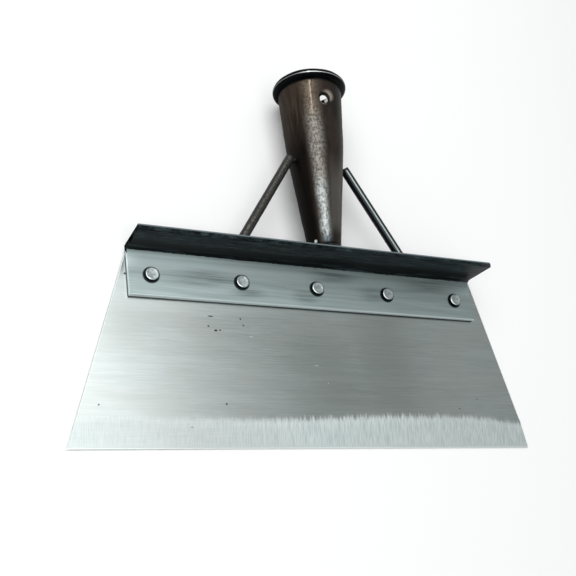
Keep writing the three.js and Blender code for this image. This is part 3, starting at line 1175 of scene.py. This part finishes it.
@dataclass(frozen=True)
class StudioPaper(Finish):
    """Matt white background paper, whose faint tooth keeps it from looking like a screen."""

    name: str = "studio_paper"
    slot: str = ""
    white: str = "#FDFDFD"
    tooth: Grain = ((0.6, 0.6, 0.6),)
    roughness: float = 0.9
    specular: float = 0.1
    bump_strength: float = 0.1
    tooth_depth: float = 0.05

    def surface(self, tree: Tree) -> Output:
        """Builds the paper's even white.

        Args:
            tree: the material's node tree.

        Returns:
            The shader's output.
        """
        place, _, _, _ = self.place(tree)
        tooth = self.grain(tree, place, *self.tooth)
        bump = add(tree, BUMP, self.bump_strength, self.tooth_depth * MM, tooth)
        return add(tree, GLOSSY, linear(self.white), 0.0, self.roughness, bump, self.specular)


def dress(piece: Piece, finish: Finish, node: str) -> None:
    """Gives a piece its material, ties it to its body and hides the CAD node that it stands for.

    Args:
        piece: the finished piece.
        finish: the surface that it gets.
        node: the name of the CAD node that it stands for.
    """
    piece.data.materials.clear()
    piece.data.materials.append(finish.material())
    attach(piece, BODY)
    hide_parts(node)
    LOG.info("%s: %d faces, %s", piece.name, len(piece.data.polygons), finish.name)


@dataclass
class RivetRow:
    """Five solid rivets through the leg and the blade, hammered flush at the back."""

    place_shares: tuple[float, ...] = (-0.4412, -0.2077, 0.0045, 0.2194, 0.4428)
    row_length: float = 197.4
    line_height: float = 11.0
    beam_front: float = 4.8
    head_radius: float = 3.6
    head_height: float = 1.6
    head_round: float = 0.85
    round_steps: int = 6
    foot_share: float = 0.97
    rim_width: float = 0.5
    dish_depth: float = 0.1
    dish_shares: tuple[tuple[float, float], ...] = ((1.0, 0.45), (0.8, 0.9), (0.5, 1.0), (0.2, 0.85))
    shank_radius: float = 2.0
    tail_radius: float = 3.1
    tail_depth: float = 1.1
    clearance: float = 0.1
    overrun: float = 3.0
    sides: int = 64
    turn_step: float = 77.0
    dent_depth: float = 0.08
    dent_size: float = 1.6
    smooth_angle: float = 40.0

    def places(self) -> list[float]:
        """Gives the rivets' places along X in millimetres."""
        return [share * self.row_length for share in self.place_shares]

    def spots(self) -> list[Matrix]:
        """Gives the moves from the origin to the rivets' places in the part's frame."""
        line = Matrix.Translation((0, LEG_LINE, 0))
        return [line @ Matrix.Translation((x * MM, self.line_height * MM, 0)) for x in self.places()]

    def cutter(self) -> Piece:
        """Makes the tool that drills and countersinks all five holes.

        Returns:
            One object with a drill at each rivet's place, in the part's frame.
        """
        shank = self.shank_radius + self.clearance
        tail = self.tail_radius + self.clearance
        profile = [(tail, -self.overrun), (tail, 0), (shank, self.tail_depth),
                   (shank, self.beam_front + self.overrun)]
        drill = turned("drill", profile, self.sides)
        row = [copied(drill, "drill_copy", spot) for spot in self.spots()]
        discard(drill)
        return joined(row, "drill_row")

    def profile(self) -> Profile:
        """Gives a rivet's outline from its flush tail up to the dish in its head.

        Returns:
            The radius and height of each ring in millimetres.
        """
        top = self.beam_front + self.head_height
        dish = self.head_radius - self.head_round - self.rim_width
        head = arc((self.head_radius - self.head_round, top - self.head_round), self.head_round,
                   0, 90, self.round_steps)
        return [
            (self.tail_radius / 2, 0), (self.tail_radius, 0), (self.shank_radius, self.tail_depth),
            (self.shank_radius, self.beam_front), (self.head_radius * self.foot_share, self.beam_front),
            (self.head_radius, self.beam_front + self.head_round / 2), *head, (dish + self.rim_width / 2, top),
            *((dish * out, top - self.dish_depth * down) for out, down in self.dish_shares)]

    def build(self) -> None:
        """Models one rivet, copies it along the row and dresses each copy."""
        finish = HammeredRivetSteel()
        first = turned("rivet_model", self.profile(), self.sides)
        for number, spot in enumerate(self.spots(), start=1):
            turn = Matrix.Rotation(math.radians(self.turn_step * number), 4, "Z")
            node = f"rivet_{number}"
            rivet = copied(first, node + "_set", spot @ turn)
            roughen(rivet, self.dent_depth, self.dent_size)
            smooth(rivet, self.smooth_angle)
            dress(rivet, finish, node)
        discard(first)


@dataclass
class Blade:
    """Tapered spring-steel plate with a wide ground bevel at its cutting edge."""

    edge_width: float = 250.0
    top_width: float = 199.4
    top_offset: float = 1.3
    exposed_length: float = 71.0
    top_reach: float = 25.5
    thickness: float = 1.8
    bevel_width: float = 14.5
    edge_thickness: float = 0.5
    fresh_width: float = 0.6
    fresh_drop: float = 0.25
    back_margin: float = 0.1
    side_chamfer: float = 0.35
    chamfer_steps: int = 2
    bevel_round: float = 2.0
    round_steps: int = 5
    smooth_angle: float = 25.0

    def build(self, holes: Piece) -> None:
        """Models the plate from a block and dresses it.

        Args:
            holes: the tool that drills the rivet holes.
        """
        half = self.edge_width / 2
        low = Vector((-half, -self.exposed_length, 0))
        plate = block("blade_plate", low, Vector((half, self.top_reach, self.thickness)))
        edge_y = -self.exposed_length * MM
        front = self.thickness * MM
        with editing(plate):
            choose(plate, Pick.POINTS, lambda point: point.co.y > 0)
            enlarge(self.top_width / self.edge_width, 1, 1)
            slide(self.top_offset, 0, 0)
            for width, drop in ((self.bevel_width, self.thickness - self.edge_thickness),
                                (self.fresh_width, self.fresh_drop)):
                bpy.ops.mesh.select_all(action="SELECT")
                bpy.ops.mesh.bisect(plane_co=(0, edge_y + width * MM, 0), plane_no=(0, 1, 0))
                choose(plate, Pick.POINTS, lambda point: point.co.y < edge_y + NEAR
                       and point.co.z > self.back_margin * MM)
                slide(0, 0, -drop)
            bevel_line = self.bevel_width - self.exposed_length
            choose(plate, Pick.EDGES, lambda edge: runs_at(edge, bevel_line, self.thickness))
            bevel(self.bevel_round, self.round_steps)
            choose(plate, Pick.EDGES, lambda edge: between(edge, looks_sideways, looks_up)
                   and min(end.co.z for end in edge.verts) > front - NEAR)
            bevel(self.side_chamfer, self.chamfer_steps)
        plate.location = (0, LEG_LINE, 0)
        settle(plate)
        carve(plate, holes)
        flatten(plate, self.smooth_angle)
        dress(plate, BrushedSpringSteel(), "blade")


@dataclass
class AngleBeam:
    """Rolled equal angle: one leg on the blade, the other a flange that carries the socket and braces.

    Each round is a width and its number of steps.
    """

    length: float = 197.4
    end_slant: float = 1.6
    leg_width: float = 26.0
    thickness: float = 3.0
    back: float = 1.8
    root_round: tuple[float, int] = (3.5, 10)
    toe_round: tuple[float, int] = (1.0, 8)
    heel_round: tuple[float, int] = (0.8, 4)
    arris_round: tuple[float, int] = (0.8, 4)
    lower_round: tuple[float, int] = (0.2, 2)
    end_round: tuple[float, int] = (0.3, 2)
    smooth_angle: float = 40.0
    trim_low: Size = (-80.0, -12.0, -10.0)
    trim_high: Size = (80.0, 0.0, 60.0)

    def flange_face(self) -> float:
        """Gives the flange's outer face along Y in metres."""
        return LEG_LINE + self.leg_width * MM

    def below(self) -> Piece:
        """Makes the block below the flange's face that trims what is welded on it."""
        face = Vector((0, self.flange_face() / MM, 0))
        return block("below_flange", Vector(self.trim_low) + face, Vector(self.trim_high) + face)

    def build(self, holes: Piece) -> None:
        """Models the angle from its leg and dresses it.

        Args:
            holes: the tool that drills the rivet holes.
        """
        half = self.length / 2
        inner = self.leg_width - self.thickness
        front = self.back + self.thickness
        top = self.back + self.leg_width
        angle = block("angle_iron", Vector((-half, 0, self.back)), Vector((half, self.leg_width, front)))
        with editing(angle):
            bpy.ops.mesh.bisect(plane_co=(0, inner * MM, 0), plane_no=(0, 1, 0))
            choose(angle, Pick.FACES, lambda face: looks_up(face) and face.calc_center_median().y > inner * MM)
            bpy.ops.mesh.extrude_region_move(TRANSFORM_OT_translate={"value": (0, 0, (top - front) * MM)})
            for row in (0, inner, self.leg_width):
                choose(angle, Pick.POINTS, lambda point: abs(point.co.y - row * MM) < NEAR)
                slide(self.end_slant * (0.5 - row / self.leg_width), 0, 0)
            rounds = (
                (inner, front, self.root_round), (0, front, self.toe_round), (inner, top, self.toe_round),
                (self.leg_width, self.back, self.heel_round), (self.leg_width, top, self.arris_round),
                (0, self.back, self.lower_round))
            for y, z, size in rounds:
                choose(angle, Pick.EDGES, lambda edge: runs_at(edge, y, z))
                bevel(*size)
            choose(angle, Pick.EDGES, lambda edge: between(
                edge, looks_sideways, lambda face: not looks_sideways(face)))
            bevel(*self.end_round)
        angle.location = (0, LEG_LINE, 0)
        settle(angle)
        carve(angle, holes)
        flatten(angle, self.smooth_angle)
        dress(angle, PaintedAngle(), "angle_beam")


@dataclass
class Socket:
    """Tapered tube rolled from sheet, with a rolled bead round its mouth, a seam and one screw hole."""

    length: float = 95.2
    base_diameter: float = 16.8
    bend_diameter: float = 31.0
    mouth_diameter: float = 35.3
    bend_height: float = 58.6
    bend_softness: float = 0.4
    foot_shift: float = 0.7
    mouth_shift: float = 1.05
    wall: float = 2.0
    axis_height: float = 17.4
    bead_radius: float = 2.6
    bead_steps: int = 16
    lip_bevel: float = 0.5
    lip_steps: int = 4
    hole_diameter: float = 5.0
    hole_from_rim: float = 14.0
    countersink_diameter: float = 8.6
    countersink_depth: float = 1.5
    hole_sides: int = 48
    seam_angle: float = -27.0
    seam_depth: float = 0.22
    seam_starts: tuple[float, ...] = (66.0, 70.0, 74.0)
    skin: float = 0.5
    sides: int = 160
    rings: int = 42
    overrun: float = 3.0
    dent_depth: float = 0.25
    dent_size: float = 9.0
    smooth_angle: float = 35.0

    def side_lean(self) -> float:
        """Gives the angle by which the mouth tips to the left."""
        return math.asin(self.mouth_shift / self.length)

    def lean(self) -> float:
        """Gives the angle by which the socket's mouth tips up from the back's plane."""
        along, mouth = self.length * math.cos(self.side_lean()), self.mouth_diameter / 2
        return math.atan2(mouth, along) - math.asin((self.axis_height - self.bead_radius) / math.hypot(along, mouth))

    def standing(self) -> Matrix:
        """Places the upright socket: its foot on the flange, its front facing +Z.

        Returns:
            The matrix that takes the upright socket's frame to the part's own.
        """
        foot = Matrix.Translation((self.foot_shift * MM, AngleBeam().flange_face(), self.axis_height * MM))
        leaning = Matrix.Rotation(self.lean(), 4, "X") @ Matrix.Rotation(self.side_lean(), 4, "Z")
        return foot @ leaning @ Matrix.Rotation(-math.pi / 2, 4, "X")

    def radius_at(self, height: float) -> float:
        """Gives the tube's outer radius, which follows two cones with a soft bend between.

        Args:
            height: the height above the flange in millimetres.

        Returns:
            The radius in millimetres.
        """
        above = height - self.bend_height
        lower = above * (self.bend_diameter - self.base_diameter) / self.bend_height
        upper = above * (self.mouth_diameter - self.bend_diameter) / (self.length - self.bend_height)
        return (2 * self.bend_diameter + lower + upper - math.hypot(lower - upper, self.bend_softness)) / 4

    def profile(self) -> Profile:
        """Gives the closed section of the tube's wall.

        Returns:
            The radius and height of each ring, up the outside, round the bead and down the bore.
        """
        heights = ladder(-self.overrun, self.length - self.bead_radius, self.rings)
        mouth = self.mouth_diameter / 2
        rim = self.length + self.bead_radius
        outside = [(self.radius_at(height), height) for height in heights]
        bead = arc((mouth, self.length), self.bead_radius, -90, 90, self.bead_steps)[1:]
        lip = arc((mouth - self.wall + self.lip_bevel, rim - self.lip_bevel), self.lip_bevel,
                  90, 180, self.lip_steps)
        bore = [(radius - self.wall, height) for radius, height in reversed(outside)]
        return outside + bead + lip + bore

    def drill(self) -> Piece:
        """Makes the tool that drills and countersinks the screw hole in the tube's front.

        Returns:
            The tool in the upright socket's frame.
        """
        height = self.length - self.hole_from_rim
        surface = self.radius_at(height)
        bore, sink = self.hole_diameter / 2, self.countersink_diameter / 2
        tool = turned("socket_drill", [
            (bore, surface / 2), (bore, surface - self.countersink_depth), (sink, surface),
            (sink, surface + self.overrun)], self.hole_sides)
        tool.matrix_world = Matrix.Translation((0, 0, height * MM)) @ Matrix.Rotation(math.pi / 2, 4, "X")
        settle(tool)
        return tool

    def build(self, under: Piece) -> None:
        """Models the tube ring by ring, sinks its seam, drills it and dresses it.

        Args:
            under: the block below the flange's face that trims the foot.
        """
        tube = turned("socket_tube", self.profile(), self.sides, ring=True)
        step = 2 * math.pi / self.sides
        seam = round(math.radians(self.seam_angle) / step) * step
        with editing(tube):
            def on_seam(point: bmesh.types.BMVert, start: float) -> bool:
                """Tells whether a point lies on the seam, on the tube's outside.

                Args:
                    point: the mesh's point.
                    start: the height in millimetres above which the seam counts.

                Returns:
                    Whether the point is sunk with the seam.
                """
                angle = math.atan2(point.co.x, -point.co.y)
                outside = math.hypot(point.co.x, point.co.y) > (self.radius_at(point.co.z / MM) - self.skin) * MM
                return outside and abs(angle - seam) < step / 4 and start * MM < point.co.z < self.length * MM

            inward = Vector((-math.sin(seam), math.cos(seam), 0)) * self.seam_depth * MM / len(self.seam_starts)
            for start in self.seam_starts:
                choose(tube, Pick.POINTS, lambda point: on_seam(point, start))
                bpy.ops.transform.translate(value=inward)
        roughen(tube, self.dent_depth, self.dent_size)
        drill = self.drill()
        carve(tube, drill)
        discard(drill)
        tube.matrix_world = self.standing()
        settle(tube)
        carve(tube, under)
        smooth(tube, self.smooth_angle)
        dress(tube, ScaledTubeSteel(), "socket")


@dataclass(frozen=True)
class BarLine:
    """Where a brace runs, in the upright socket's frame and millimetres."""

    foot: Vector
    direction: Vector
    end: Vector
    corner: Vector
    outward: Vector


@dataclass
class Braces:
    """Two round bars from the flange up to the socket's flanks, the left one set further forward."""

    diameter: float = 5.0
    foot_reach: float = 47.0
    left_top: tuple[float, float] = (54.0, 3.0)
    right_top: tuple[float, float] = (53.0, 0.0)
    end_bevel: float = 0.35
    seat_gap: float = 0.3
    overrun: float = 5.0
    sides: int = 48
    rings: int = 40
    left_dents: float = 0.1
    right_dents: float = 0.04
    dent_size: float = 3.0
    smooth_angle: float = 40.0

    def line(self, side: Side, socket: Socket) -> BarLine:
        """Works out where a brace runs.

        Args:
            side: which of the two braces.
            socket: the tube that it leans on.

        Returns:
            Its line, from the foot on the flange to the square top end against the tube.
        """
        height, forward = self.left_top if side is Side.LEFT else self.right_top
        lean = socket.side_lean()
        foot = Vector((math.cos(lean), 0, -math.sin(lean))) * side.value * self.foot_reach
        radius = socket.radius_at(height)
        flank = Vector((side.value * math.sqrt(radius ** 2 - forward ** 2), -forward, height))
        direction = (flank - foot).normalized()
        slope = (radius - socket.radius_at(height - self.diameter)) / self.diameter
        outward = Vector((flank.x / radius, flank.y / radius, -slope)).normalized()
        meeting = math.asin(-direction.dot(outward))
        setback = self.diameter / 2 / math.tan(meeting) + self.seat_gap / math.sin(meeting)
        end = flank - direction * setback
        across = (outward - direction * direction.dot(outward)).normalized()
        return BarLine(foot, direction, end, end - across * self.diameter / 2, outward)

    def build(self, socket: Socket) -> None:
        """Models both bars and dresses them.

        Args:
            socket: the tube that they lean on.
        """
        # Each bar has a painted highlight strip; the left one's is duller and broader.
        finishes = {
            Side.LEFT: BlackBar(name="highlighted_black_bar", rubbed_highlight="#5A5854", strip_turn=(0.5, 0.9),
                                broken=(0.4, 0.62, 0.2, 1.0), roughness=0.4, bump_strength=0.26),
            Side.RIGHT: BlackBar()}
        for side in Side:
            line = self.line(side, socket)
            length = (line.end - line.foot).length
            radius = self.diameter / 2
            outline = [(radius, height)
                       for height in ladder(-self.overrun, length - self.end_bevel, self.rings)]
            outline += [(radius - self.end_bevel / 3, length - self.end_bevel / 4),
                        (radius - self.end_bevel, length), (radius / 2, length)]
            name = f"brace_{side.name.lower()}"
            bar = turned(name + "_bar", outline, self.sides)
            roughen(bar, self.left_dents if side is Side.LEFT else self.right_dents, self.dent_size)
            aim = Vector((0, 0, 1)).rotation_difference(line.direction).to_matrix().to_4x4()
            bar.matrix_world = socket.standing() @ Matrix.Translation(line.foot * MM) @ aim
            settle(bar)
            with editing(bar):
                bpy.ops.mesh.bisect(plane_co=(0, AngleBeam().flange_face(), 0), plane_no=(0, 1, 0),
                                    use_fill=True, clear_inner=True)
            smooth(bar, self.smooth_angle)
            dress(bar, finishes[side], name)


@dataclass
class Welds:
    """Weld beads round the feet of the socket and braces, and in the corners at the braces' tops."""

    socket_ripples: int = 22
    socket_ripple: Size = (1.4, 1.8, 1.5)
    foot_ripples: int = 10
    foot_ripple: Size = (1.7, 1.35, 1.7)
    top_ripple: Size = (1.2, 1.1, 1.0)
    top_steps: tuple[float, ...] = (-1.4, -0.5, 0.5, 1.4)
    top_drop: float = 0.3
    socket_gap: float = 0.3
    foot_gap: float = 0.4
    drop_sides: int = 24
    drop_rings: int = 14
    under_share: float = 0.6
    uneven: float = 0.12
    uneven_step: float = 2.4
    voxel: float = 0.3
    melt_share: float = 0.5
    melt_rounds: int = 3
    smooth_angle: float = 60.0

    def bead(self, name: str, spots: list[Matrix], size: Size,
             under: Piece) -> Piece:
        """Models a bead as overlapping flattened ripples melted into one.

        Args:
            name: the bead's name.
            spots: the place of each ripple in the part's frame.
            size: a ripple's half widths in millimetres.
            under: the block below the flange's face that trims the bead.

        Returns:
            The finished bead.
        """
        bpy.ops.mesh.primitive_uv_sphere_add(segments=self.drop_sides, ring_count=self.drop_rings, radius=MM)
        drop = bpy.context.object
        with editing(drop):
            enlarge(*size)
            choose(drop, Pick.POINTS, lambda point: point.co.z < 0)
            enlarge(1, 1, self.under_share)
        scales = [1 + self.uneven * math.sin(self.uneven_step * k) for k in range(len(spots))]
        run = [copied(drop, name + "_ripple", spot @ Matrix.Scale(scale, 4)) for spot, scale in zip(spots, scales)]
        discard(drop)
        bead = joined(run, name)
        modify(bead, "REMESH", mode="VOXEL", voxel_size=self.voxel * MM)
        modify(bead, "SMOOTH", factor=self.melt_share, iterations=self.melt_rounds)
        carve(bead, under)
        smooth(bead, self.smooth_angle)
        return bead

    def around(self, count: int, reach: tuple[float, float], middle: Matrix) -> list[Matrix]:
        """Places ripples round an oval, each turned along it.

        Args:
            count: how many ripples.
            reach: the oval's half widths in millimetres.
            middle: the oval's middle and plane.

        Returns:
            A matrix for each ripple.
        """
        spots = []
        for k in range(count):
            angle = 2 * math.pi * k / count
            offset = Vector((reach[0] * math.cos(angle), reach[1] * math.sin(angle), 0)) * MM
            spots.append(middle @ Matrix.Translation(offset) @ Matrix.Rotation(angle, 4, "Z"))
        return spots

    def build(self, socket: Socket, braces: Braces, under: Piece) -> None:
        """Models and dresses the five beads.

        Args:
            socket: the tube whose foot is welded.
            braces: the bars whose feet and tops are welded.
            under: the block below the flange's face.
        """
        finish = PaintedWeld()
        flat = Matrix.Translation((socket.foot_shift * MM, AngleBeam().flange_face(), socket.axis_height * MM))
        flat = flat @ Matrix.Rotation(-math.pi / 2, 4, "X")
        reach = socket.base_diameter / 2 + self.socket_gap
        ring = self.around(self.socket_ripples, (reach, reach), flat)
        dress(self.bead("socket_weld_bead", ring, self.socket_ripple, under), finish, "socket_weld")
        for side in Side:
            line = braces.line(side, socket)
            radius = braces.diameter / 2
            middle = flat @ Matrix.Translation((side.value * braces.foot_reach * MM, 0, 0))
            reach = (radius / line.direction.z + self.foot_gap, radius + self.foot_gap)
            ring = self.around(self.foot_ripples, reach, middle)
            label = side.name.lower()
            dress(self.bead(f"foot_weld_bead_{label}", ring, self.foot_ripple, under), finish,
                  f"brace_foot_weld_{label}")
            round_tube = line.direction.cross(line.outward).normalized()
            spots = [socket.standing() @ Matrix.Translation(
                (line.corner + round_tube * step - line.direction * self.top_drop) * MM) for step in self.top_steps]
            dress(self.bead(f"top_weld_bead_{label}", spots, self.top_ripple, under), finish,
                  f"brace_top_weld_{label}")


@dataclass
class Studio:
    """Camera, lamps, paper floor and surroundings."""

    eye: Size = (-188.269, -161.972, 354.347)
    right: Size = (0.906829, -0.080497, 0.413742)
    down: Size = (0.076863, -0.933554, -0.350097)
    forward: Size = (0.414432, 0.349280, -0.840387)
    lens: float = 50.949
    sensor: float = 36.0
    clip_start: float = 10.0
    floor_size: float = 6000.0
    floor_drop: float = 0.3
    key_place: Size = (-500.0, 270.0, 1100.0)
    key_size: tuple[float, float] = (1400.0, 1900.0)
    key_power: float = 17.0
    walls: str = "#A6A9A8"
    horizon: str = "#F2F2F2"
    horizon_rise: Span = (0.02, 0.2, 1.0, 0.0)

    def camera(self) -> None:
        """Sets the camera at the photograph's place, turn and lens."""
        data = bpy.data.cameras.new("photo_camera")
        data.lens = self.lens
        data.sensor_width = self.sensor
        data.clip_start = self.clip_start * MM
        camera = placed("photo_camera", data)
        turn = Matrix((self.right, tuple(-v for v in self.down), tuple(-v for v in self.forward))).transposed()
        camera.matrix_world = Matrix.Translation(Vector(self.eye) * MM) @ turn.to_4x4()
        bpy.context.scene.camera = camera

    def lamp(self) -> None:
        """Hangs one large softbox over the head."""
        data = bpy.data.lights.new("softbox", "AREA")
        data.shape = "RECTANGLE"
        data.size, data.size_y = (length * MM for length in self.key_size)
        data.energy = self.key_power
        placed("softbox", data).location = Vector(self.key_place) * MM

    def floor(self) -> None:
        """Lays white paper just under the head."""
        bpy.ops.mesh.primitive_plane_add(size=self.floor_size * MM, location=(0, 0, -self.floor_drop * MM))
        paper = bpy.context.object
        paper.name = "studio_floor"
        settle(paper)
        paper.data.materials.append(StudioPaper().material())

    def world(self) -> None:
        """Surrounds the head with grey walls that are paler towards the horizon."""
        world = bpy.data.worlds.new("studio_walls")
        world.use_nodes = True
        tree = world.node_tree
        tree.nodes.clear()
        rise = add(tree, AXES, add(tree, DIRECTION)).node.outputs["Z"]
        pale = add(tree, SOFT, rise, *self.horizon_rise)
        colour = add(tree, COVER, pale, linear(self.walls), linear(self.horizon))
        add(tree, SURROUNDINGS, add(tree, GLOW, colour, 1.0))
        bpy.context.scene.world = world

    def build(self) -> None:
        """Sets up the whole studio."""
        self.camera()
        self.lamp()
        self.floor()
        self.world()
        bpy.context.scene.view_settings.view_transform = "Standard"


def main() -> None:
    """Builds the head piece by piece, then the studio."""
    logging.basicConfig(level=logging.INFO, format="%(name)s: %(message)s")
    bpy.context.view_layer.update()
    rivets, angle, socket, braces = RivetRow(), AngleBeam(), Socket(), Braces()
    under = angle.below()
    holes = rivets.cutter()
    Blade().build(holes)
    angle.build(holes)
    rivets.build()
    socket.build(under)
    braces.build(socket)
    Welds().build(socket, braces, under)
    discard(holes, under)
    Studio().build()


if __name__ == "__main__":
    main()
